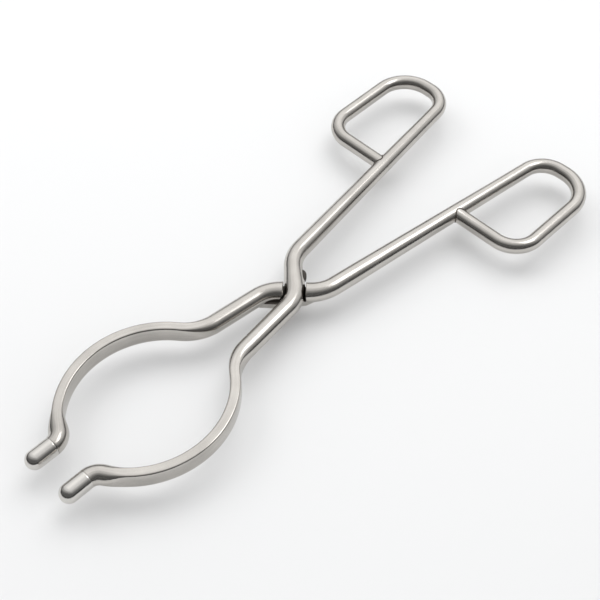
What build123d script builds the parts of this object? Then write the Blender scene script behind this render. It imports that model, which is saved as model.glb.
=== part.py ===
from build123d import *
from math import cos, radians, sin, sqrt
import os

# Beaker tongs bent from stainless bar, lying on a bench with the jaws part closed.
# Millimetres. +X runs from the pivot to the finger loops, the jaws reach to -X, +Z is up.
# The origin is on the pivot axis, at the flat underside of the lower arm's lap.

# Bar
bar_d = 7.5              # bar across the joint and the jaw necks, and at the tips
loop_d = 6.2             # bar drawn down to this in the finger loops
bar_z = bar_d / 2        # height of the bar's centre line, lying on the bench

# Overall reach from the pivot
handle_reach = 128.3     # to the outermost face of the loops
jaw_reach = 121.8        # to the end of the tips
centre_line = 2.3        # the jaws and loops are centred this far to the upper handle's side

# Finger loops, from above, at the bar's centre line
loop_length = 49.5       # return leg to far end
loop_side = 52.6         # outer side, from the centre line
shank_start = 9.4        # the shank's line passes the pivot this far from the centre line
shank_angle = 7.8        # shank to centre line, degrees
leg_bend_r = 11.0        # bend between the return leg and the outer side
outer_bend_r = 14.0      # far bend beside the outer side
shank_bend_r = 11.0      # far bend beside the shank
taper_from_pivot = 22.0  # the shank tapers from here
taper_to_far_bar = 22.2  # to this far short of the loop's far bar, down to the loop's bar

# Crossing
crossing_angle = 48.0    # each arm passes the pivot at this angle to the centre line, degrees
cross_bend_r = 10.0      # bend from the shank into the crossing
neck_bend_r = 8.0        # bend from the crossing into the jaw neck
neck_start = 5.0         # the neck's line passes the pivot this far from the centre line
neck_angle = 6.4         # neck to centre line, degrees

# Jaws
jaw_r = 36.6             # jaw arc at the bar's centre line
jaw_rise = 6.5           # the arc's centre lies past the centre line by this, so the jaws are part closed
waist_r = 18.0           # reversed bend between the neck and the jaw arc
tip_bend_r = 6.0         # bend between the jaw arc and the tip
tip_offset = 9.6         # tip from the centre line
tip_straight = 11.3      # corner of the tip's bend to the centre of its round nose
jaw_thick = 4.3          # flattened bar, from above
jaw_height = 7.5         # flattened bar, upright
jaw_edge_r = 0.8         # rounding along the flattened bar's edges
jaw_crown = 0.05         # its faces are crowned by this
tip_flatten = 9.0        # it is round at the waist's start, flat past the waist, and round
                         # again over this length before the tip

# Lap joint
lap_thick = 2.6          # flattened end of the lower handle, under the upper arm
lap_gap = 0.1            # running gap between the lap and the upper arm's flat
handle_room = 0.95       # room for the upper arm to swing, beside the lower handle's shoulder
jaw_room = 1.65          # the same beside the lower jaw bar's square end
handle_shoulder = bar_d / 2 + handle_room    # pivot to the square shoulder of the lower handle
jaw_shoulder = bar_d / 2 + jaw_room          # pivot to the square end of the lower jaw bar
lap_reach = 15.0         # pivot to the lap's far end, under the jaw bar
lap_spread = 1.9         # the flattened lap spreads past the bar's side by this
lap_runout = 4.5         # the flat runs out under the handle over this length
lap_corner_r = 2.0
upper_flat = 13.2        # the upper arm is flat underneath this far each way from the pivot
swell_r = 4.4            # round swell under the upper arm, behind the lap
swell_from_pivot = 8.5
swell_thick = 2.4

# Rivet, pressed into the upper arm and turning in the lap
rivet_d = 4.5
rivet_head_d = 7.0       # countersunk and flush with the lap's underside
rivet_head_h = 1.4
rivet_in_arm = 3.6       # depth of the blind hole in the upper arm
rivet_clearance = 0.05   # radial, in the lap


def heading(angle):
    """Direction towards the jaws, turned by an angle to the centre line."""
    return Vector(-cos(radians(angle)), -sin(radians(angle)))


def meet(point, run, other_point, other_run):
    """Point where two lines in the plan cross."""
    gap = other_point - point
    turn = run.X * other_run.Y - run.Y * other_run.X
    return point + run * ((gap.X * other_run.Y - gap.Y * other_run.X) / turn)


def touching_centre(point, run, r, arc_centre, distance, way):
    """Centre of an arc of radius r that lies left of a line, at a distance from another arc's centre."""
    start = point + Vector(-run.Y, run.X) * r
    back = start - arc_centre
    along = back.dot(run)
    return start + run * (way * sqrt(along**2 - back.dot(back) + distance**2) - along)


def arc_about(centre, start, end):
    """Arc about a centre, the short way round."""
    middle = (start - centre) + (end - centre)
    return ThreePointArc(start, centre + middle.normalized() * (start - centre).length, end)


def at_bar_height(edge):
    return Pos(0, 0, bar_z) * edge


def round_bar(path, diameter):
    """Bar of constant diameter along a path in the bar's centre plane."""
    path = at_bar_height(path)
    section = Plane(origin=path @ 0, z_dir=path % 0) * Circle(diameter / 2)
    return sweep(section, path=path)


def jaw_section(path, t, flatness):
    """Section across the jaw at parameter t of its path: a circle at flatness 0, a flat bar at 1."""
    place = Plane(origin=path @ t, x_dir=(0, 0, 1), z_dir=path % t)
    half_height = jaw_height / 2
    half_thick = jaw_thick / 2
    corner = Vector(half_height - jaw_edge_r, half_thick - jaw_edge_r)
    flat_quarter = [
        Vector(half_height, 0),
        Vector(half_height - jaw_crown, corner.Y),
        corner + Vector(1, 1).normalized() * jaw_edge_r,
        Vector(corner.X, half_thick - jaw_crown),
        Vector(0, half_thick),
    ]
    round_quarter = [
        Vector(cos(radians(angle)), sin(radians(angle))) * bar_d / 2
        for angle in (0, 24, 38, 52, 90)
    ]
    quarter = [r + (f - r) * flatness for r, f in zip(round_quarter, flat_quarter)]
    ring = []
    for up, out, step in ((1, 1, 1), (-1, 1, -1), (-1, -1, 1), (1, -1, -1)):
        ring += [Vector(up * p.X, out * p.Y) for p in quarter[::step]][:-1]
    ring += ring[:2]
    sides = [ThreePointArc(*ring[i:i + 3]) for i in range(1, 17, 2)]
    return place * make_face(sides)


def flattening(path, round_at, flat_at):
    """Bar that goes from round to flat between two parameters of its path."""
    steps = 6
    shares = [step / steps for step in range(steps + 1)]
    eased = [share**2 * (3 - 2 * share) for share in shares]
    spread = flat_at - round_at
    return loft([
        jaw_section(path, round_at + spread * share, flatness)
        for share, flatness in zip(shares, eased)
    ])


class ArmLine:
    """Plan of one arm about the pivot, seen as the upper arm, with its handle towards +Y.

    The other arm is its mirror image, with the centre line on the other side of the pivot.
    """

    def __init__(self, centre_y):
        pivot = Vector(0, 0)
        across = Vector(0, 1)
        shank = Vector(0, centre_y + shank_start)
        neck = Vector(0, centre_y - neck_start)
        far = handle_reach - loop_d / 2
        near = far - loop_length
        outer = centre_y + loop_side
        self.leg_end = meet(Vector(near, 0), across, shank, heading(shank_angle))
        far_corner = meet(Vector(far, 0), across, shank, heading(shank_angle))
        self.loop_corners = [Vector(near, outer), Vector(far, outer), far_corner]
        self.taper_end = meet(Vector(far - taper_to_far_bar, 0), across, shank, heading(shank_angle))
        self.taper_start = meet(Vector(taper_from_pivot, 0), across, shank, heading(shank_angle))
        self.cross_corner = meet(pivot, heading(crossing_angle), shank, heading(shank_angle))
        self.neck_corner = meet(pivot, heading(crossing_angle), neck, heading(neck_angle))

        self.nose = Vector(-(jaw_reach - bar_d / 2), centre_y - tip_offset)
        corner = self.nose + Vector(tip_straight, 0)
        inward = sqrt(jaw_r**2 - (jaw_rise + tip_offset) ** 2)
        self.jaw_centre = Vector(corner.X + inward, centre_y + jaw_rise)

        waist = touching_centre(neck, heading(neck_angle), waist_r, self.jaw_centre, jaw_r + waist_r, -1)
        neck_side = Vector(heading(neck_angle).Y, -heading(neck_angle).X)
        self.waist_start = waist + neck_side * waist_r
        self.waist_end = waist + (self.jaw_centre - waist).normalized() * waist_r
        self.waist_centre = waist

        bend = touching_centre(self.nose, Vector(-1, 0), tip_bend_r, self.jaw_centre, jaw_r + tip_bend_r, 1)
        self.bend_start = bend + (self.jaw_centre - bend).normalized() * tip_bend_r
        self.bend_end = bend + Vector(0, tip_bend_r)
        self.bend_centre = bend

    def loop(self):
        """Finger loop: one bar from the return leg's end on the shank, round to the shank's taper."""
        points = [self.leg_end, *self.loop_corners, self.taper_end]
        return FilletPolyline(*points, radius=[leg_bend_r, outer_bend_r, shank_bend_r])

    def crossing(self):
        """Shank's foot, past the pivot, to the waist."""
        points = [self.taper_start, self.cross_corner, self.neck_corner, self.waist_start]
        return FilletPolyline(*points, radius=[cross_bend_r, neck_bend_r])

    def waist(self):
        return arc_about(self.waist_centre, self.waist_start, self.waist_end)

    def jaw(self):
        return arc_about(self.jaw_centre, self.waist_end, self.bend_start)

    def tip_bend(self):
        return arc_about(self.bend_centre, self.bend_start, self.bend_end)


def shank_taper(line):
    """Cone between the joint's bar and the loop's thinner bar."""
    run = line.taper_end - line.taper_start
    start = Plane(origin=(line.taper_start.X, line.taper_start.Y, bar_z), z_dir=run)
    seat = (Align.CENTER, Align.CENTER, Align.MIN)
    return start * Cone(bar_d / 2, loop_d / 2, run.length, align=seat)


def jaw_bar(line):
    """Bar hammered upright and flat along the jaw arc, round at the waist and before the tip."""
    waist = at_bar_height(line.waist())
    arc = at_bar_height(line.jaw())
    flat_until = 1 - tip_flatten / arc.length
    flat = sweep(jaw_section(arc, 0, 1), path=arc.trim(0, flat_until))
    return flattening(waist, 0, 1) + flat + flattening(arc, 1, flat_until)


def whole_arm(line):
    """Arm in one piece, from the return leg's welded end to the seat of the tip."""
    arm = round_bar(line.loop(), loop_d) + shank_taper(line)
    arm += round_bar(line.crossing(), bar_d) + jaw_bar(line)
    bend = at_bar_height(line.tip_bend())
    return arm + sweep(jaw_section(bend, 0, 0), path=bend)


def jaw_tip(line):
    """Straight round stub with a domed nose, welded to the jaw's end."""
    seat = (Align.CENTER, Align.CENTER, Align.MIN)
    start = Plane(origin=(line.bend_end.X, line.bend_end.Y, bar_z), z_dir=(-1, 0, 0))
    straight = line.bend_end.X - line.nose.X
    nose = Pos(line.nose.X, line.nose.Y, bar_z) * Sphere(bar_d / 2)
    return start * Cylinder(bar_d / 2, straight, align=seat) + nose


def slab(half_length, start):
    """Block across the crossing, from a distance along it, to cut an arm away."""
    size = 2 * half_length
    place = crossing_frame * Pos(start, 0, 0)
    return place * Box(size, size, size, align=(Align.MIN, Align.CENTER, Align.CENTER))


crossing_frame = Location((0, 0, 0), (0, 0, crossing_angle))
standing = (Align.CENTER, Align.CENTER, Align.MIN)
hanging = (Align.CENTER, Align.CENTER, Align.MAX)
lap_top = lap_thick + lap_gap


def lap_plate():
    """Flattened end of the lower handle. X runs along the crossing, +Y is the side it spreads to."""
    side = bar_d / 2
    near = side + lap_spread
    runout = handle_shoulder + lap_runout
    outline = Polyline(
        (runout, side / 4),
        (handle_shoulder, side),
        (-handle_shoulder, near),
        (-lap_reach, near),
        (-lap_reach, -side / 8),
        (-jaw_shoulder - lap_corner_r, -side),
        (handle_shoulder, -side),
        (runout, -side / 4),
        close=True,
    )
    plate = extrude(make_face(outline), lap_thick)
    ends = plate.edges().filter_by(Axis.Z).group_by(Axis.X)[0]
    return crossing_frame * fillet(ends, lap_corner_r)


def rivet_shape(clearance, shank_length):
    """Countersunk rivet, head down at the origin, or the hole for it with a clearance."""
    head_low = rivet_head_d / 2 + clearance
    shank_r = rivet_d / 2 + clearance
    head = Cone(head_low, shank_r, rivet_head_h + clearance, align=standing)
    return head + Cylinder(shank_r, shank_length, align=standing)


def save(name, shape):
    shape.label = name
    export_step(shape, f"parts/{name}.step")


os.makedirs("parts", exist_ok=True)

# Upper arm: flat underneath where it rides on the lap, with a blind hole for the rivet
upper_line = ArmLine(centre_line)
upper_arm = whole_arm(upper_line)
flat_cut = Box(2 * upper_flat, 2 * upper_flat, bar_d, align=hanging)
upper_arm -= crossing_frame * Pos(0, 0, lap_top) * flat_cut
swell_place = crossing_frame * Pos(swell_from_pivot, 0, lap_top)
upper_arm += swell_place * Cylinder(swell_r, swell_thick, align=standing)
rivet_hole = Pos(0, 0, lap_top) * Cylinder(rivet_d / 2, rivet_in_arm, align=standing)
upper_arm -= rivet_hole
save("upper_arm", upper_arm)
save("upper_jaw_tip", jaw_tip(upper_line))

# Lower arm: the handle ends in the lap, and the jaw bar is let down over it and welded
lower_line = ArmLine(-centre_line)
lower_arm = whole_arm(lower_line)
span = handle_reach + jaw_reach
lap = lap_plate()
lower_handle = lower_arm & slab(span, handle_shoulder)
lower_handle = lower_handle + lap - rivet_shape(rivet_clearance, lap_top)
lower_jaw = lower_arm - slab(span, -jaw_shoulder) - lap
save("lower_handle", mirror(lower_handle, about=Plane.XZ))
save("lower_jaw", mirror(lower_jaw, about=Plane.XZ))
save("lower_jaw_tip", mirror(jaw_tip(lower_line), about=Plane.XZ))

save("pivot_rivet", rivet_shape(0, lap_top + rivet_in_arm))
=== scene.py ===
import math

import bmesh
import bpy
from mathutils import Matrix, Vector


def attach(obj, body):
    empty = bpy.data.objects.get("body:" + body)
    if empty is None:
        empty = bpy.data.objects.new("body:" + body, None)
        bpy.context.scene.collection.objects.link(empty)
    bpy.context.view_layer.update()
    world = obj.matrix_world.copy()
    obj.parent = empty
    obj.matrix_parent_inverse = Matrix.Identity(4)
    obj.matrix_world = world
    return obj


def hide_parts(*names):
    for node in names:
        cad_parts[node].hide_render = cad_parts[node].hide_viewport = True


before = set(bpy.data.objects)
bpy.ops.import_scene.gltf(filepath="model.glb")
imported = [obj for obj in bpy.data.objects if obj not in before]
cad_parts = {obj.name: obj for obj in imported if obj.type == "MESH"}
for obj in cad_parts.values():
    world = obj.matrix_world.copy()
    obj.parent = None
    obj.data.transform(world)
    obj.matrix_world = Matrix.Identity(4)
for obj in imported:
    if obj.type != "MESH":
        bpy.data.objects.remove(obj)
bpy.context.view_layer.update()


# View of the photograph: a hand-held height above the bench, from the jaws' end, looking
# down across the joint. Right, back and up are the camera's own directions.
turn = math.radians(-44.92)
tilt = math.radians(51.2)
right = Vector((math.cos(turn), math.sin(turn), 0))
back = Vector((math.sin(turn) * math.cos(tilt), -math.cos(turn) * math.cos(tilt), math.sin(tilt)))
above = back.cross(right)
roll = math.radians(-0.6)
view_place = Vector((-0.21398, -0.21729, 0.37797))
lens = 74.25
camera_x = right * math.cos(roll) + above * math.sin(roll)
camera_y = above * math.cos(roll) - right * math.sin(roll)

camera_data = bpy.data.cameras.new("photo_view")
camera_data.sensor_width = 36
camera_data.lens = lens
camera_data.clip_start = 0.01
camera_data.clip_end = 20
camera = bpy.data.objects.new("photo_view", camera_data)
camera.matrix_world = Matrix.LocRotScale(
    view_place,
    Matrix((camera_x, camera_y, back)).transposed(),
    None,
)
bpy.context.scene.collection.objects.link(camera)
bpy.context.scene.camera = camera


# Upper arm. One stainless bar, bent to a finger loop, over the joint and round the jaw.
# Its shank is drawn down towards the loop, and the jaw is hammered flat and upright.
# The pivot is the origin; the plan is in millimetres, turned to metres where it is swept.
mm = 0.001
bar_r = 3.75
loop_r = 3.1
bar_height = bar_r

leg_x, far_x = 75.7, 125.2
loop_side = 52.6
leg_bend_r, outer_bend_r, shank_bend_r = 11, 14, 11
taper_start_x, taper_end_x = 22, 103
shank_angle, shank_start = 7.8, 9.4

crossing_angle = 48
crossing = math.radians(crossing_angle)
shank_foot_r, neck_bend_r = 16, 14
neck_angle, neck_start = 6.4, 5.0
arm_shift = 2.3
arm_underside = 2.7
underside_reach = 13.2
joint_spread = 0.13
spread_reach = 14

waist_r = 18
jaw_r, jaw_rise = 36.6, 6.5
jaw_thick, jaw_height = 4.3, 7.5
jaw_squareness = 6.0
round_again_over = 9.0
tip_bend_r, tip_offset, tip_straight = 6, 9.6, 11.3
nose_x = -118.05
seam_width, seam_depth = 0.15, 0.06


def heading(angle):
    return Vector((-math.cos(math.radians(angle)), -math.sin(math.radians(angle))))


def meet(point, run, other_point, other_run):
    """Where two lines of the plan cross."""
    gap = other_point - point
    turned = run.x * other_run.y - run.y * other_run.x
    return point + run * ((gap.x * other_run.y - gap.y * other_run.x) / turned)


def touching_centre(point, run, r, arc_centre, distance, way):
    """Centre of an arc that touches a line on its left and another arc."""
    start = point + Vector((-run.y, run.x)) * r
    off = start - arc_centre
    along = off.dot(run)
    return start + run * (way * math.sqrt(along**2 - off.dot(off) + distance**2) - along)


def arc(centre, start, end, step=2.5):
    """Points round an arc, the short way, a few degrees apart."""
    first, last = start - centre, end - centre
    angle = math.atan2(first.x * last.y - first.y * last.x, first.dot(last))
    count = max(3, math.ceil(abs(math.degrees(angle)) / step))
    return [
        centre + Matrix.Rotation(angle * i / count, 2) @ first for i in range(count + 1)
    ]


def bend(before, corner, after, r):
    """Points round the bend that rounds off a corner of the plan."""
    to_start = (before - corner).normalized()
    to_end = (after - corner).normalized()
    half = to_start.angle(to_end) / 2
    reach = r / math.tan(half)
    centre = corner + (to_start + to_end).normalized() * (r / math.sin(half))
    return arc(centre, corner + to_start * reach, corner + to_end * reach)


def spread_out(start, end, step=1.0):
    """Points along a straight run, from its start to its end."""
    count = max(1, math.ceil((end - start).length / step))
    return [start.lerp(end, i / count) for i in range(count + 1)]


def arm_plan(centre_y):
    """Runs of an arm's centre line, its handle towards +Y, from the return leg to the nose."""
    pivot = Vector((0, 0))
    across = Vector((0, 1))
    shank = Vector((0, centre_y + shank_start))
    shank_run = heading(shank_angle)
    neck = Vector((0, centre_y - neck_start))
    neck_run = heading(neck_angle)

    def on_shank(x):
        return meet(Vector((x, 0)), across, shank, shank_run)

    leg_end = on_shank(leg_x)
    outer = centre_y + loop_side
    leg_corner, far_corner = Vector((leg_x, outer)), Vector((far_x, outer))
    shank_corner = on_shank(far_x)
    taper_start, taper_end = on_shank(taper_start_x), on_shank(taper_end_x)
    loop = [leg_end]
    loop += bend(leg_end, leg_corner, far_corner, leg_bend_r)
    loop += bend(leg_corner, far_corner, shank_corner, outer_bend_r)
    loop += bend(far_corner, shank_corner, taper_end, shank_bend_r)

    cross_corner = meet(pivot, heading(crossing_angle), shank, shank_run)
    neck_corner = meet(pivot, heading(crossing_angle), neck, neck_run)
    nose = Vector((nose_x, centre_y - tip_offset))
    inward = math.sqrt(jaw_r**2 - (jaw_rise + tip_offset)**2)
    jaw_centre = Vector((nose.x + tip_straight + inward, centre_y + jaw_rise))
    waist_centre = touching_centre(neck, neck_run, waist_r, jaw_centre, jaw_r + waist_r, -1)
    waist_start = waist_centre + Vector((neck_run.y, -neck_run.x)) * waist_r
    waist_end = waist_centre + (jaw_centre - waist_centre).normalized() * waist_r
    tip_centre = touching_centre(
        nose, Vector((-1, 0)), tip_bend_r, jaw_centre, jaw_r + tip_bend_r, 1
    )
    tip_start = tip_centre + (jaw_centre - tip_centre).normalized() * tip_bend_r
    tip_end = tip_centre + Vector((0, tip_bend_r))
    return {
        "loop": loop + [taper_end],
        "taper": spread_out(taper_end, taper_start, 4.0),
        "shank foot": bend(taper_start, cross_corner, pivot, shank_foot_r),
        "neck": bend(pivot, neck_corner, waist_start, neck_bend_r),
        "waist": arc(waist_centre, waist_start, waist_end),
        "jaw": arc(jaw_centre, waist_end, tip_start, 1.5),
        "tip bend": arc(tip_centre, tip_start, tip_end, 5),
        "nose": nose,
    }


def eased(share):
    share = min(max(share, 0), 1)
    return share * share * (3 - 2 * share)


def measured(points):
    """Length along the run at each of its points."""
    lengths = [0]
    for a, b in zip(points, points[1:]):
        lengths.append(lengths[-1] + (b - a).length)
    return lengths


def handle_stations(plan):
    """Point, radius, flatness and lowest height at each station, return leg to joint."""
    rows = [(p, loop_r, 0, -1) for p in plan["loop"]]
    lengths = measured(plan["taper"])
    rows += [
        (p, loop_r + (bar_r - loop_r) * s / lengths[-1], 0, -1)
        for p, s in zip(plan["taper"], lengths)
    ][1:]
    return rows + [(p, bar_r, 0, -1) for p in plan["shank foot"]]


def jaw_stations(plan):
    """The same from the neck to the seat of the tip, flat between the waist and the tip's bend."""
    rows = [(p, bar_r, 0, -1) for p in plan["neck"]]
    lengths = measured(plan["waist"])
    rows += [(p, bar_r, eased(s / lengths[-1]), -1) for p, s in zip(plan["waist"], lengths)]
    lengths = measured(plan["jaw"])
    rows += [
        (p, bar_r, eased((lengths[-1] - s) / round_again_over), -1)
        for p, s in zip(plan["jaw"], lengths)
    ][1:]
    rows += [(p, bar_r, 0, -1) for p in plan["tip bend"]][1:]
    seat, r, flat, low = rows[-1]
    run = (seat - rows[-2][0]).normalized()
    return rows[:-1] + [(seat - run * seam_width, r, flat, low), (seat, r - seam_depth, flat, low)]


def bar_line(name, rows, mirrored=False):
    """Mesh line of the stations, with what the bar is at each of them."""
    side = -1 if mirrored else 1
    same = 0.004
    kept = [rows[0]] + [b for a, b in zip(rows, rows[1:]) if (b[0] - a[0]).length > same]
    mesh = bpy.data.meshes.new(name)
    mesh.from_pydata(
        [(p.x * mm, side * p.y * mm, bar_height * mm) for p, *_ in kept],
        [(i, i + 1) for i in range(len(kept) - 1)],
        [],
    )
    columns = {
        "bar_radius": [r * mm for _, r, _, _ in kept],
        "flatness": [f for _, _, f, _ in kept],
        "lowest": [low * mm for _, _, _, low in kept],
        "along": [s * mm for s in measured([p for p, *_ in kept])],
        "spread": [joint_spread * eased(1 - p.length / spread_reach) for p, *_ in kept],
    }
    for key, values in columns.items():
        mesh.attributes.new(key, "FLOAT", "POINT").data.foreach_set("value", values)
    return mesh


def add_node(tree, kind, **settings):
    node = tree.nodes.new(kind)
    for key, value in settings.items():
        setattr(node, key, value)
    return node


def maths(tree, operation, *values):
    """Math node; a value is a number or a socket."""
    node = add_node(tree, "ShaderNodeMath", operation=operation)
    for socket, value in zip(node.inputs, values):
        if isinstance(value, (int, float)):
            socket.default_value = value
        else:
            tree.links.new(value, socket)
    return node.outputs[0]


def bar_tree():
    """Bar swept along a line: round, or squared towards a flat bar, and cut to a lowest height."""
    tree = bpy.data.node_groups.new("bar_on_a_line", "GeometryNodeTree")
    face = tree.interface
    face.new_socket("Line", in_out="INPUT", socket_type="NodeSocketGeometry")
    face.new_socket("Faces around", in_out="INPUT", socket_type="NodeSocketInt")
    face.new_socket("Flat height", in_out="INPUT", socket_type="NodeSocketFloat")
    face.new_socket("Flat thickness", in_out="INPUT", socket_type="NodeSocketFloat")
    face.new_socket("Squareness", in_out="INPUT", socket_type="NodeSocketFloat")
    face.new_socket("Steel", in_out="INPUT", socket_type="NodeSocketMaterial")
    face.new_socket("Bar", in_out="OUTPUT", socket_type="NodeSocketGeometry")
    link = tree.links.new
    given = add_node(tree, "NodeGroupInput")
    line = add_node(tree, "GeometryNodeMeshToCurve")
    link(given.outputs["Line"], line.inputs[0])
    on_line = add_node(tree, "GeometryNodeCaptureAttribute")
    on_line.capture_items.new("VECTOR", "centre")
    on_line.capture_items.new("VECTOR", "run")
    link(line.outputs[0], on_line.inputs["Geometry"])
    link(add_node(tree, "GeometryNodeInputPosition").outputs[0], on_line.inputs["centre"])
    link(add_node(tree, "GeometryNodeInputTangent").outputs[0], on_line.inputs["run"])
    ring = add_node(tree, "GeometryNodeCurvePrimitiveCircle")
    link(given.outputs["Faces around"], ring.inputs["Resolution"])
    on_ring = add_node(tree, "GeometryNodeCaptureAttribute")
    on_ring.capture_items.new("VECTOR", "way")
    link(ring.outputs[0], on_ring.inputs["Geometry"])
    link(add_node(tree, "GeometryNodeInputPosition").outputs[0], on_ring.inputs["way"])
    swept = add_node(tree, "GeometryNodeCurveToMesh")
    swept.inputs["Fill Caps"].default_value = True
    link(on_line.outputs["Geometry"], swept.inputs["Curve"])
    link(on_ring.outputs["Geometry"], swept.inputs["Profile Curve"])

    def stored(name):
        node = add_node(tree, "GeometryNodeInputNamedAttribute", data_type="FLOAT")
        node.inputs["Name"].default_value = name
        return node.outputs[0]

    way = add_node(tree, "ShaderNodeSeparateXYZ")
    link(on_ring.outputs["way"], way.inputs[0])
    power = maths(tree, "DIVIDE", 2.0, given.outputs["Squareness"])
    offsets = []
    for part, size in (("X", "Flat thickness"), ("Y", "Flat height")):
        round_part = maths(tree, "MULTIPLY", way.outputs[part], stored("bar_radius"))
        bulge = maths(tree, "POWER", maths(tree, "ABSOLUTE", way.outputs[part]), power)
        signed = maths(tree, "MULTIPLY", bulge, maths(tree, "SIGN", way.outputs[part]))
        half = maths(tree, "MULTIPLY", given.outputs[size], 0.5)
        flat_part = maths(tree, "MULTIPLY", signed, half)
        apart = maths(tree, "SUBTRACT", flat_part, round_part)
        change = maths(tree, "MULTIPLY", apart, stored("flatness"))
        offsets.append(maths(tree, "ADD", round_part, change))
    side, up = offsets
    side = maths(tree, "MULTIPLY", side, maths(tree, "ADD", stored("spread"), 1.0))
    sideways = add_node(tree, "ShaderNodeVectorMath", operation="CROSS_PRODUCT")
    sideways.inputs[0].default_value = (0, 0, 1)
    link(on_line.outputs["run"], sideways.inputs[1])
    unit = add_node(tree, "ShaderNodeVectorMath", operation="NORMALIZE")
    link(sideways.outputs[0], unit.inputs[0])
    out = add_node(tree, "ShaderNodeVectorMath", operation="SCALE")
    link(unit.outputs[0], out.inputs[0])
    link(side, out.inputs["Scale"])
    moved = add_node(tree, "ShaderNodeVectorMath", operation="ADD")
    link(on_line.outputs["centre"], moved.inputs[0])
    link(out.outputs[0], moved.inputs[1])
    flat_place = add_node(tree, "ShaderNodeSeparateXYZ")
    link(moved.outputs[0], flat_place.inputs[0])
    full_height = maths(tree, "ADD", flat_place.outputs["Z"], up)
    height = maths(tree, "MAXIMUM", full_height, stored("lowest"))
    place = add_node(tree, "ShaderNodeCombineXYZ")
    link(flat_place.outputs["X"], place.inputs["X"])
    link(flat_place.outputs["Y"], place.inputs["Y"])
    link(height, place.inputs["Z"])
    set_place = add_node(tree, "GeometryNodeSetPosition")
    link(swept.outputs[0], set_place.inputs["Geometry"])
    link(place.outputs[0], set_place.inputs["Position"])
    grain = add_node(tree, "ShaderNodeCombineXYZ")
    link(stored("along"), grain.inputs["X"])
    link(side, grain.inputs["Y"])
    link(up, grain.inputs["Z"])
    keep = add_node(
        tree, "GeometryNodeStoreNamedAttribute", data_type="FLOAT_VECTOR", domain="CORNER"
    )
    keep.inputs["Name"].default_value = "grain"
    link(set_place.outputs[0], keep.inputs["Geometry"])
    link(grain.outputs[0], keep.inputs["Value"])
    closed = add_node(tree, "GeometryNodeMergeByDistance")
    closed.inputs["Distance"].default_value = 0.000004
    link(keep.outputs[0], closed.inputs["Geometry"])
    real = add_node(tree, "GeometryNodeRealizeInstances")
    link(closed.outputs[0], real.inputs[0])
    steel = add_node(tree, "GeometryNodeSetMaterial")
    link(real.outputs[0], steel.inputs["Geometry"])
    link(given.outputs["Steel"], steel.inputs["Material"])
    result = add_node(tree, "NodeGroupOutput")
    link(steel.outputs[0], result.inputs["Bar"])
    return tree


def plain_mesh(obj, name):
    """Mesh of an object with its modifiers worked in, and the object removed."""
    bpy.context.view_layer.update()
    mesh = bpy.data.meshes.new_from_object(obj.evaluated_get(bpy.context.evaluated_depsgraph_get()))
    mesh.name = name
    bpy.data.objects.remove(obj)
    return mesh


def in_scene(name, mesh):
    obj = bpy.data.objects.new(name, mesh)
    bpy.context.scene.collection.objects.link(obj)
    return obj


def outwards(mesh, crease=30):
    """Turns the faces outwards and keeps only the real edges sharp."""
    work = bmesh.new()
    work.from_mesh(mesh)
    bmesh.ops.dissolve_degenerate(work, edges=work.edges, dist=0.0005 * mm)
    bmesh.ops.recalc_face_normals(work, faces=work.faces)
    if work.calc_volume(signed=True) < 0:
        bmesh.ops.reverse_faces(work, faces=work.faces)
    work.to_mesh(mesh)
    work.free()
    mesh.polygons.foreach_set("use_smooth", [True] * len(mesh.polygons))
    mesh.set_sharp_from_angle(angle=math.radians(crease))
    return mesh


def grown(name, line, group, values):
    """Plain mesh that a node group makes from a line, with values for its inputs."""
    obj = in_scene(name, line)
    step = obj.modifiers.new("grown", "NODES")
    step.node_group = group
    for item in group.interface.items_tree:
        if item.in_out == "INPUT" and item.name in values:
            step[item.identifier] = values[item.name]
    return outwards(plain_mesh(obj, name))


bar_group = bar_tree()


def swept_bar(name, rows, steel, mirrored=False, around=56):
    """Bar along the stations, as a plain mesh."""
    return grown(name, bar_line(name, rows, mirrored), bar_group, {
        "Faces around": around,
        "Flat height": jaw_height * mm,
        "Flat thickness": jaw_thick * mm,
        "Squareness": jaw_squareness,
        "Steel": steel,
    })


def cut_or_joined(mesh, others, operation, name):
    """Mesh joined with others, or cut by them."""
    obj = in_scene(name, mesh)
    tools = []
    for other in others:
        tool = in_scene(name + "_tool", other)
        step = obj.modifiers.new(operation.lower(), "BOOLEAN")
        step.operation = operation
        step.solver = "EXACT"
        step.material_mode = "TRANSFER"
        step.use_self = operation == "UNION"
        step.object = tool
        tools.append(tool)
    result = plain_mesh(obj, name)
    for tool in tools:
        bpy.data.objects.remove(tool)
    return outwards(result)


def stretched_noise(tree, vector, stretch, detail, roughness=0.5):
    """Noise over a vector, stretched by a scale along each axis."""
    mapping = add_node(tree, "ShaderNodeMapping")
    mapping.inputs["Scale"].default_value = stretch
    tree.links.new(vector, mapping.inputs["Vector"])
    noise = add_node(tree, "ShaderNodeTexNoise")
    noise.inputs["Scale"].default_value = 1
    noise.inputs["Detail"].default_value = detail
    noise.inputs["Roughness"].default_value = roughness
    tree.links.new(mapping.outputs[0], noise.inputs["Vector"])
    return noise.outputs["Fac"]


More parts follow.
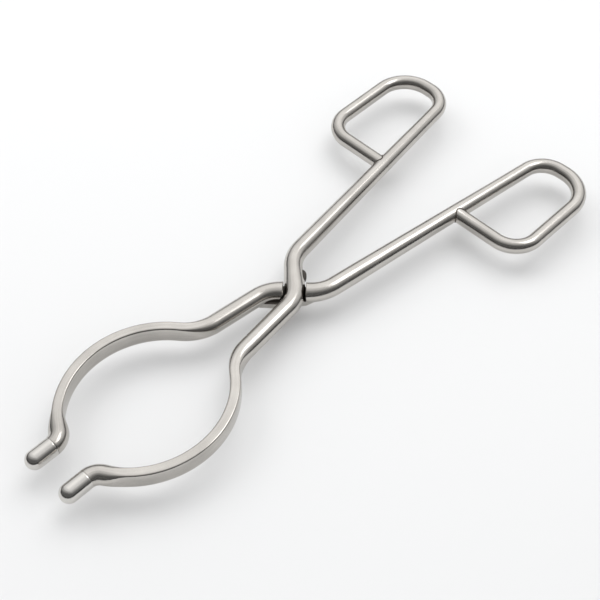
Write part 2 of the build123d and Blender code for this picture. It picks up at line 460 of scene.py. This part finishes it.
def brushed_steel(name, colour, rough, along_scale=55, across_scale=2600, groove=0.05, stain=0.05):
    """Satin stainless, brushed along the bar: fine grooves, faint cloudiness and small scuffs."""
    steel = bpy.data.materials.new(name)
    steel.use_nodes = True
    tree = steel.node_tree
    link = tree.links.new
    shader = tree.nodes["Principled BSDF"]
    shader.inputs["Metallic"].default_value = 1
    grain = add_node(tree, "ShaderNodeAttribute", attribute_name="grain").outputs["Vector"]
    brushing = stretched_noise(tree, grain, (along_scale, across_scale, across_scale), detail=3)
    scuffs = stretched_noise(tree, grain, (14, 900, 900), detail=6, roughness=0.7)
    place = add_node(tree, "ShaderNodeTexCoord")
    cloud = add_node(tree, "ShaderNodeTexNoise")
    cloud.inputs["Scale"].default_value = 90
    cloud.inputs["Detail"].default_value = 4
    link(place.outputs["Object"], cloud.inputs["Vector"])

    tone = add_node(tree, "ShaderNodeValToRGB")
    tone.color_ramp.elements[0].position = 0.3
    tone.color_ramp.elements[0].color = (*[c * (1 - 2 * stain) for c in colour], 1)
    tone.color_ramp.elements[1].position = 0.75
    tone.color_ramp.elements[1].color = (*[min(1, c * (1 + stain)) for c in colour], 1)
    clouded = maths(tree, "MULTIPLY", cloud.outputs["Fac"], 0.45)
    scuffed = maths(tree, "MULTIPLY", scuffs, 0.55)
    link(maths(tree, "ADD", clouded, scuffed), tone.inputs["Fac"])
    link(tone.outputs["Color"], shader.inputs["Base Color"])
    from_brushing, from_cloud = 0.16, 0.06
    smoothest = rough - (from_brushing + from_cloud) / 2
    uneven = maths(tree, "MULTIPLY_ADD", brushing, from_brushing, smoothest)
    patchy = maths(tree, "MULTIPLY_ADD", cloud.outputs["Fac"], from_cloud, uneven)
    link(patchy, shader.inputs["Roughness"])
    bump = add_node(tree, "ShaderNodeBump")
    bump.inputs["Strength"].default_value = groove
    bump.inputs["Distance"].default_value = 0.0002
    link(brushing, bump.inputs["Height"])
    link(bump.outputs[0], shader.inputs["Normal"])
    return steel


arm_steel = brushed_steel("satin_stainless_bar", (0.57, 0.545, 0.512), 0.2, stain=0.12)


def in_crossing(point):
    """Point of the plan along and across the upper arm's crossing."""
    return Matrix.Rotation(-crossing, 2) @ point


def from_pivot(point):
    """Distance to the pivot along or across the crossing, whichever is more."""
    turned = in_crossing(point)
    return max(abs(turned.x), abs(turned.y))


def flattened_below(rows, near=40, step=0.3):
    """Stations over the joint, filled in closely, with the underside cut flat above the lap."""
    filled = []
    for (a, ra, fa, _), (b, rb, fb, _) in zip(rows, rows[1:]):
        near_joint = max(abs(in_crossing(a).x), abs(in_crossing(b).x)) < near
        count = max(1, math.ceil((b - a).length / step)) if near_joint else 1
        for i in range(count):
            s = i / count
            filled.append((a.lerp(b, s), ra + (rb - ra) * s, fa + (fb - fa) * s))
    filled.append(rows[-1][:3])
    return [
        (p, r, f, arm_underside if from_pivot(p) < underside_reach else -1) for p, r, f in filled
    ]


upper_plan = arm_plan(arm_shift)
joint_rows = flattened_below(
    [(p, bar_r, 0, -1) for p in upper_plan["shank foot"] + upper_plan["neck"]]
)
upper_rows = handle_stations(upper_plan)[:-len(upper_plan["shank foot"])] + joint_rows
upper_rows += jaw_stations(upper_plan)[len(upper_plan["neck"]):]
upper_bar = swept_bar("upper_arm_bar", upper_rows, arm_steel)


def level_edges(work):
    return [e for e in work.edges if abs(e.verts[0].co.z - e.verts[1].co.z) < 1e-7]


def raise_faces(work, height):
    """Makes a prism of the flat faces drawn so far; the height is in millimetres."""
    top = bmesh.ops.extrude_face_region(work, geom=list(work.faces))
    raised = [v for v in top["geom"] if isinstance(v, bmesh.types.BMVert)]
    bmesh.ops.translate(work, verts=raised, vec=(0, 0, height * mm))


def finished(work, name, steel):
    mesh = bpy.data.meshes.new(name)
    work.to_mesh(mesh)
    work.free()
    mesh.materials.append(steel)
    return outwards(mesh)


def disc(name, centre, r, low, high, steel, edge=0.35):
    """Round disc with eased edges, as a plain mesh; heights in millimetres."""
    work = bmesh.new()
    circle = bmesh.ops.create_circle(work, cap_ends=True, segments=64, radius=r * mm)
    bmesh.ops.translate(work, verts=circle["verts"], vec=(centre.x * mm, centre.y * mm, low * mm))
    raise_faces(work, high - low)
    if edge:
        rims = level_edges(work)
        bmesh.ops.bevel(work, geom=rims, offset=edge * mm, segments=4, affect="EDGES", profile=0.5)
    return finished(work, name, steel)


# Near-black steel that paints the shade in the joint: the shoulder ends, the lap's top beside the
# upper arm, the swell and the faces of the notches.
joint_shade_paint = brushed_steel(
    "painted_joint_shade", (0.10, 0.09, 0.08), 0.5,
    along_scale=400, across_scale=900, groove=0.2, stain=0.25,
)


swell_along, swell_aside = 7.6, -1.6
swell_r, swell_top, swell_lift = 3.4, 5.1, 0.02
swell_place = Matrix.Rotation(crossing, 2) @ Vector((swell_along, swell_aside))
# The swell is made of the near-black joint steel: painted shade on the rim beside the upper arm.
swell = disc("swell", swell_place, swell_r, arm_underside + swell_lift, swell_top, joint_shade_paint)

rivet_r, rivet_in_arm = 2.25, 3.6
bore_low, bore_high = arm_underside - 1, arm_underside + rivet_in_arm
rivet_bore = disc("rivet_bore", Vector((0, 0)), rivet_r, bore_low, bore_high, arm_steel, edge=0)
upper_joined = cut_or_joined(upper_bar, [swell], "UNION", "upper_arm_joined")
upper_arm = in_scene(
    "upper_arm_steel", cut_or_joined(upper_joined, [rivet_bore], "DIFFERENCE", "upper_arm_steel")
)
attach(upper_arm, "upper_half")
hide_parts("upper_arm")


# Lower handle. The other arm's handle ends in a square shoulder beside the joint, and its
# last part is forged down to a thin lap that runs on under the upper arm and the jaw bar.
lap_thick = 2.6
lap_root, lap_root_half = 9.2, 0.94
lap_straight, lap_waist, lap_reach = 4.7, 7.4, 15
lap_outer, lap_inner = 5.65, -0.47
lap_corner_r, lap_edge = 2.0, 0.22
handle_shoulder, end_ease = 4.3, 0.2
hole_r, hole_foot_r, hole_cone = 2.3, 3.55, 1.45
hole_mouth_r, hole_low, hole_high = 3.9, -0.5, 4.0
swing_angles = (-5.8, 0, 13.4)
swing_reach, swing_side_gap, swing_under_gap = 18, 0.1, 0.12


def swing_room(name):
    """Room that the upper arm needs over the lap: its bar at rest and past both limits. The faces
    it cuts take its near-black steel as painted shade.
    """
    rooms = []
    fat = [
        (p, r + swing_side_gap, f, low - swing_under_gap)
        for p, r, f, low in joint_rows if p.length < swing_reach
    ]
    for angle in swing_angles:
        room_mesh = swept_bar(name, fat, joint_shade_paint)
        room_mesh.transform(Matrix.Rotation(math.radians(angle), 4, "Z"))
        rooms.append(room_mesh)
    return rooms


def lap_mesh(name, steel):
    """Forged lap: a plate with eased edges under the joint, from the handle to the jaw."""
    outline = [
        (lap_root, lap_root_half), (lap_straight, bar_r), (-lap_straight, lap_outer),
        (-lap_reach, lap_outer), (-lap_reach, lap_inner), (-lap_waist, -bar_r),
        (lap_straight, -bar_r), (lap_root, -lap_root_half),
    ]
    work = bmesh.new()
    turned = [Matrix.Rotation(crossing, 2) @ Vector(p) for p in outline]
    corners = [work.verts.new((p.x * mm, -p.y * mm, 0)) for p in turned]
    work.faces.new(corners)
    raise_faces(work, lap_thick)
    tip = [Vector((p.x * mm, -p.y * mm)) for p in (turned[3], turned[4])]
    posts = [
        e for e in work.edges
        if abs(e.verts[0].co.z - e.verts[1].co.z) > 1e-5
        and min((e.verts[0].co.xy - t).length for t in tip) < 1e-6
    ]
    bmesh.ops.bevel(
        work, geom=posts, offset=lap_corner_r * mm, segments=8, affect="EDGES", profile=0.5
    )
    rims = level_edges(work)
    bmesh.ops.bevel(work, geom=rims, offset=lap_edge * mm, segments=3, affect="EDGES", profile=0.5)
    return finished(work, name, steel)


def lathe(name, outline, steel, segments=64):
    """Closed solid turned about the pivot, from (radius, height) points in millimetres."""
    work = bmesh.new()
    rings = []
    for r, z in outline:
        if r == 0:
            rings.append([work.verts.new((0, 0, z * mm))])
            continue
        rings.append([
            work.verts.new((r * mm * math.cos(a), r * mm * math.sin(a), z * mm))
            for a in (2 * math.pi * i / segments for i in range(segments))
        ])
    for lower, upper in zip(rings, rings[1:]):
        for i in range(segments):
            quad = [lower[i % len(lower)], lower[(i + 1) % len(lower)]]
            quad += [upper[(i + 1) % len(upper)], upper[i % len(upper)]]
            work.faces.new(list(dict.fromkeys(quad)))
    return finished(work, name, steel)


def paint_shade_in_joint(mesh, reach):
    """Paints shade on what stands across the bar or lies on the lap, where the upper arm shades
    them.
    """
    lap_level = 3
    mesh.materials.append(joint_shade_paint)
    dark = len(mesh.materials) - 1
    run = Vector((math.cos(crossing), -math.sin(crossing)))
    for face in mesh.polygons:
        if face.center.xy.length > reach * mm:
            continue
        upright = abs(face.normal.z) < 0.3 and face.center.z > lap_thick * mm
        across = upright and abs(face.normal.xy.normalized().dot(run)) > 0.9
        on_lap = face.normal.z > 0.95 and face.center.z < lap_level * mm
        if across or on_lap:
            face.material_index = dark


lower_plan = arm_plan(-arm_shift)
to_joint = heading(crossing_angle)
shoulder = to_joint * -handle_shoulder
handle_rows = handle_stations(lower_plan)
handle_rows += [
    (shoulder - to_joint * end_ease, bar_r, 0, -1),
    (shoulder, bar_r - end_ease, 0, -1),
]
handle_bar = cut_or_joined(
    swept_bar("lower_handle_bar", handle_rows, arm_steel, mirrored=True),
    swing_room("handle_swing_room"), "DIFFERENCE", "lower_handle_bar",
)
rivet_hole = lathe(
    "rivet_hole",
    [
        (0, hole_low), (hole_mouth_r, hole_low), (hole_foot_r, 0),
        (hole_r, hole_cone), (hole_r, hole_high), (0, hole_high),
    ],
    arm_steel,
)
joined = cut_or_joined(handle_bar, [lap_mesh("lap", arm_steel)], "UNION", "lower_handle_joined")
lower_handle = in_scene(
    "lower_handle_steel", cut_or_joined(joined, [rivet_hole], "DIFFERENCE", "lower_handle_steel")
)
# Painted shade: the handle's square shoulder and the lap's top near the joint are made near-black.
paint_shade_in_joint(lower_handle.data, lap_reach)
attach(lower_handle, "lower_half")
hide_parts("lower_handle")


# Lower jaw. A second bar with a square end, let down over the lap and welded to it, then
# bent and hammered flat like the upper arm's jaw.
jaw_shoulder, jaw_shade_reach = 4.7, 8
jaw_end = to_joint * jaw_shoulder
jaw_rows = [
    (jaw_end, bar_r - end_ease, 0, -1),
    (jaw_end + to_joint * end_ease, bar_r, 0, -1),
]
jaw_rows += jaw_stations(lower_plan)
jaw_bar = swept_bar("lower_jaw_bar", jaw_rows, arm_steel, mirrored=True)
jaw_bar = cut_or_joined(jaw_bar, swing_room("jaw_swing_room"), "DIFFERENCE", "lower_jaw_bar")
lower_jaw = in_scene(
    "lower_jaw_steel",
    cut_or_joined(jaw_bar, [lap_mesh("lap_seat", arm_steel)], "DIFFERENCE", "lower_jaw_steel"),
)
# Painted shade: the jaw's square end and its faces over the lap near the joint are made near-black.
paint_shade_in_joint(lower_jaw.data, jaw_shade_reach)
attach(lower_jaw, "lower_half")
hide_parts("lower_jaw")


# Jaw tips. Straight round stubs with domed noses, butt-welded to the jaws and dressed, so
# only a faint ring shows where they meet.
tip_steel = brushed_steel(
    "satin_stainless_tip", (0.66, 0.64, 0.61), 0.15,
    along_scale=140, across_scale=2200, groove=0.04,
)


def tip_rows(plan):
    """Stations of a tip: an eased end at the seam, a straight, and a dome."""
    seam = plan["tip bend"][-1]
    nose = plan["nose"]
    rows = [
        (seam, bar_r - seam_depth, 0, -1),
        (seam + Vector((-seam_width, 0)), bar_r, 0, -1),
    ]
    straight_start = seam + Vector((-0.5, 0))
    rows += [(p, bar_r, 0, -1) for p in spread_out(straight_start, nose, step=1.5)]
    dome_steps = 24
    for i in range(1, dome_steps + 1):
        angle = math.radians(90 * i / dome_steps)
        rows.append((
            nose + Vector((-math.sin(angle) * bar_r, 0)),
            max(math.cos(angle) * bar_r, 0.003), 0, -1,
        ))
    return rows


for name, plan, mirrored, body in (
    ("upper_jaw_tip", upper_plan, False, "upper_half"),
    ("lower_jaw_tip", lower_plan, True, "lower_half"),
):
    tip = in_scene(name + "_steel", swept_bar(name + "_steel", tip_rows(plan), tip_steel, mirrored))
    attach(tip, body)
    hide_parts(name)


# Return-leg welds. Each loop's bar ends against its own shank and is brazed there, with a
# thin dark fillet in the corner all the way round: part seam, part painted shade of the gap.
weld_seam_and_shade = brushed_steel(
    "weld_seam_painted_shade", (0.16, 0.14, 0.12), 0.5,
    along_scale=900, across_scale=900, groove=0.3, stain=0.2,
)


def weld_tree():
    """Thin bead along a closed line."""
    tree = bpy.data.node_groups.new("bead_on_a_line", "GeometryNodeTree")
    tree.interface.new_socket("Line", in_out="INPUT", socket_type="NodeSocketGeometry")
    tree.interface.new_socket("Bead radius", in_out="INPUT", socket_type="NodeSocketFloat")
    tree.interface.new_socket("Steel", in_out="INPUT", socket_type="NodeSocketMaterial")
    tree.interface.new_socket("Bead", in_out="OUTPUT", socket_type="NodeSocketGeometry")
    link = tree.links.new
    given = add_node(tree, "NodeGroupInput")
    line = add_node(tree, "GeometryNodeMeshToCurve")
    link(given.outputs["Line"], line.inputs[0])
    ring = add_node(tree, "GeometryNodeCurvePrimitiveCircle")
    ring.inputs["Resolution"].default_value = 12
    link(given.outputs["Bead radius"], ring.inputs["Radius"])
    swept = add_node(tree, "GeometryNodeCurveToMesh")
    link(line.outputs[0], swept.inputs["Curve"])
    link(ring.outputs[0], swept.inputs["Profile Curve"])
    real = add_node(tree, "GeometryNodeRealizeInstances")
    link(swept.outputs[0], real.inputs[0])
    steel = add_node(tree, "GeometryNodeSetMaterial")
    link(real.outputs[0], steel.inputs["Geometry"])
    link(given.outputs["Steel"], steel.inputs["Material"])
    result = add_node(tree, "NodeGroupOutput")
    link(steel.outputs[0], result.inputs["Bead"])
    return tree


bead_group = weld_tree()
bead_r = 0.28
bead_points = 72
for name, plan, side, body in (
    ("upper_loop_weld", upper_plan, 1, "upper_half"),
    ("lower_loop_weld", lower_plan, -1, "lower_half"),
):
    leg = plan["loop"][0]
    shank_run = heading(shank_angle)
    shank_r = loop_r + (bar_r - loop_r) * (taper_end_x - leg.x) / (taper_end_x - taper_start_x)
    ring_points = []
    for i in range(bead_points):
        angle = 2 * math.pi * i / bead_points
        off, up = loop_r * math.cos(angle), loop_r * math.sin(angle)
        axis_y = leg.y + off * shank_run.y / shank_run.x
        reach = math.sqrt(shank_r**2 - up**2) / abs(shank_run.x)
        x, y, z = leg.x + off, side * (axis_y + reach), bar_height + up
        ring_points.append((x * mm, y * mm, z * mm))
    corner = bpy.data.meshes.new(name)
    corner.from_pydata(ring_points, [(i, (i + 1) % bead_points) for i in range(bead_points)], [])
    values = {"Bead radius": bead_r * mm, "Steel": weld_seam_and_shade}
    bead = in_scene(name, grown(name, corner, bead_group, values))
    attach(bead, body)


# Pivot rivet. Countersunk from below and ground flush with the lap; its upper end is
# hidden in the upper arm. The grinding leaves marks straight across its face.
rivet_steel = bpy.data.materials.new("ground_rivet")
rivet_steel.use_nodes = True
rivet_nodes = rivet_steel.node_tree
rivet_link = rivet_nodes.links.new
rivet_shader = rivet_nodes.nodes["Principled BSDF"]
rivet_shader.inputs["Metallic"].default_value = 1
rivet_place = add_node(rivet_nodes, "ShaderNodeTexCoord")
rivet_noise = stretched_noise(rivet_nodes, rivet_place.outputs["Object"], (90, 4200, 900), detail=4)
rivet_tone = add_node(rivet_nodes, "ShaderNodeValToRGB")
rivet_tone.color_ramp.elements[0].color = (0.42, 0.40, 0.38, 1)
rivet_tone.color_ramp.elements[1].color = (0.60, 0.585, 0.565, 1)
rivet_link(rivet_noise, rivet_tone.inputs["Fac"])
rivet_link(rivet_tone.outputs["Color"], rivet_shader.inputs["Base Color"])
rivet_rough = maths(rivet_nodes, "MULTIPLY_ADD", rivet_noise, 0.25, 0.25)
rivet_link(rivet_rough, rivet_shader.inputs["Roughness"])
rivet_bump = add_node(rivet_nodes, "ShaderNodeBump")
rivet_bump.inputs["Strength"].default_value = 0.165
rivet_bump.inputs["Distance"].default_value = 0.0002
rivet_link(rivet_noise, rivet_bump.inputs["Height"])
rivet_link(rivet_bump.outputs[0], rivet_shader.inputs["Normal"])
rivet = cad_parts["pivot_rivet"]
rivet.data.materials.clear()
rivet.data.materials.append(rivet_steel)


# Studio. A pale sheet a little below the tongs, in a pale room whose light comes from behind
# the upper loop. The steel mirrors the room's dark side towards the viewer, and a small
# reflector overhead gives the shanks their bright streak.
floor_mesh = bpy.data.meshes.new("floor")
floor_half, floor_z = 1.5, -0.007
floor_mesh.from_pydata(
    [(x * floor_half, y * floor_half, floor_z) for x, y in ((-1, -1), (1, -1), (1, 1), (-1, 1))],
    [],
    [(0, 1, 2, 3)],
)
floor = in_scene("floor", floor_mesh)
floor_paint = bpy.data.materials.new("pale_sheet")
floor_paint.use_nodes = True
floor_shader = floor_paint.node_tree.nodes["Principled BSDF"]
floor_shader.inputs["Base Color"].default_value = (0.80, 0.80, 0.80, 1)
floor_shader.inputs["Roughness"].default_value = 0.9
floor_shader.inputs["Specular IOR Level"].default_value = 0.1
floor_mesh.materials.append(floor_paint)


def soft_light(name, place, size, power):
    """Area light that faces the pivot; place and size in metres, power in watts."""
    data = bpy.data.lights.new(name, "AREA")
    data.shape = "RECTANGLE"
    data.size, data.size_y = size
    data.energy = power
    light = bpy.data.objects.new(name, data)
    towards = Vector(place)
    light.matrix_world = Matrix.LocRotScale(towards, towards.to_track_quat("Z", "Y"), None)
    bpy.context.scene.collection.objects.link(light)
    return light


key = soft_light("key", (-0.1, 0.8, 0.8), (0.7, 0.6), 2.3)
key.visible_glossy = False
overhead = soft_light("overhead", (0.5, 0.2, 0.95), (1.0, 1.0), 6.0)
overhead.visible_glossy = False
reflector = soft_light("reflector", (0.5, -0.2, 0.95), (0.55, 0.34), 1.4)
reflector.visible_diffuse = False

world = bpy.data.worlds.new("room")
bpy.context.scene.world = world
world.use_nodes = True
room = world.node_tree
window_direction = (0.55, 0.35, 0.72)
room_paint = (0.75, 0.755, 0.76, 1)
direction = add_node(room, "ShaderNodeTexCoord")
towards_window = add_node(room, "ShaderNodeVectorMath", operation="DOT_PRODUCT")
room.links.new(direction.outputs["Generated"], towards_window.inputs[0])
towards_window.inputs[1].default_value = window_direction
walls = add_node(room, "ShaderNodeValToRGB")
walls.color_ramp.elements[0].position = 0.0
walls.color_ramp.elements[0].color = (0.12, 0.12, 0.12, 1)
walls.color_ramp.elements[1].position = 1.0
walls.color_ramp.elements[1].color = (1.35, 1.35, 1.35, 1)
wall_levels = ((0.27, 0.2), (0.33, 0.4), (0.5, 0.45), (0.6, 0.78), (0.8, 0.95), (0.9, 1.25))
for position, level in wall_levels:
    step = walls.color_ramp.elements.new(position)
    step.color = (level, level, level, 1)
room.links.new(towards_window.outputs["Value"], walls.inputs["Fac"])
heights = add_node(room, "ShaderNodeSeparateXYZ")
room.links.new(direction.outputs["Generated"], heights.inputs[0])
horizon = add_node(room, "ShaderNodeValToRGB")
horizon.color_ramp.elements[0].position = 0.1
horizon.color_ramp.elements[0].color = (0.1, 0.1, 0.1, 1)
horizon.color_ramp.elements[1].position = 0.3
horizon.color_ramp.elements[1].color = (1, 1, 1, 1)
room.links.new(heights.outputs["Z"], horizon.inputs["Fac"])
above_horizon = add_node(room, "ShaderNodeMix", data_type="RGBA", blend_type="MULTIPLY")
above_horizon.inputs[0].default_value = 1
room.links.new(walls.outputs["Color"], above_horizon.inputs[6])
room.links.new(horizon.outputs["Color"], above_horizon.inputs[7])
rays = add_node(room, "ShaderNodeLightPath")
seen = add_node(room, "ShaderNodeMix", data_type="RGBA")
room.links.new(rays.outputs["Is Glossy Ray"], seen.inputs[0])
seen.inputs[6].default_value = room_paint
room.links.new(above_horizon.outputs[2], seen.inputs[7])
room.links.new(seen.outputs[2], room.nodes["Background"].inputs["Color"])
room.nodes["Background"].inputs["Strength"].default_value = 1
bpy.context.scene.view_settings.view_transform = "Standard"
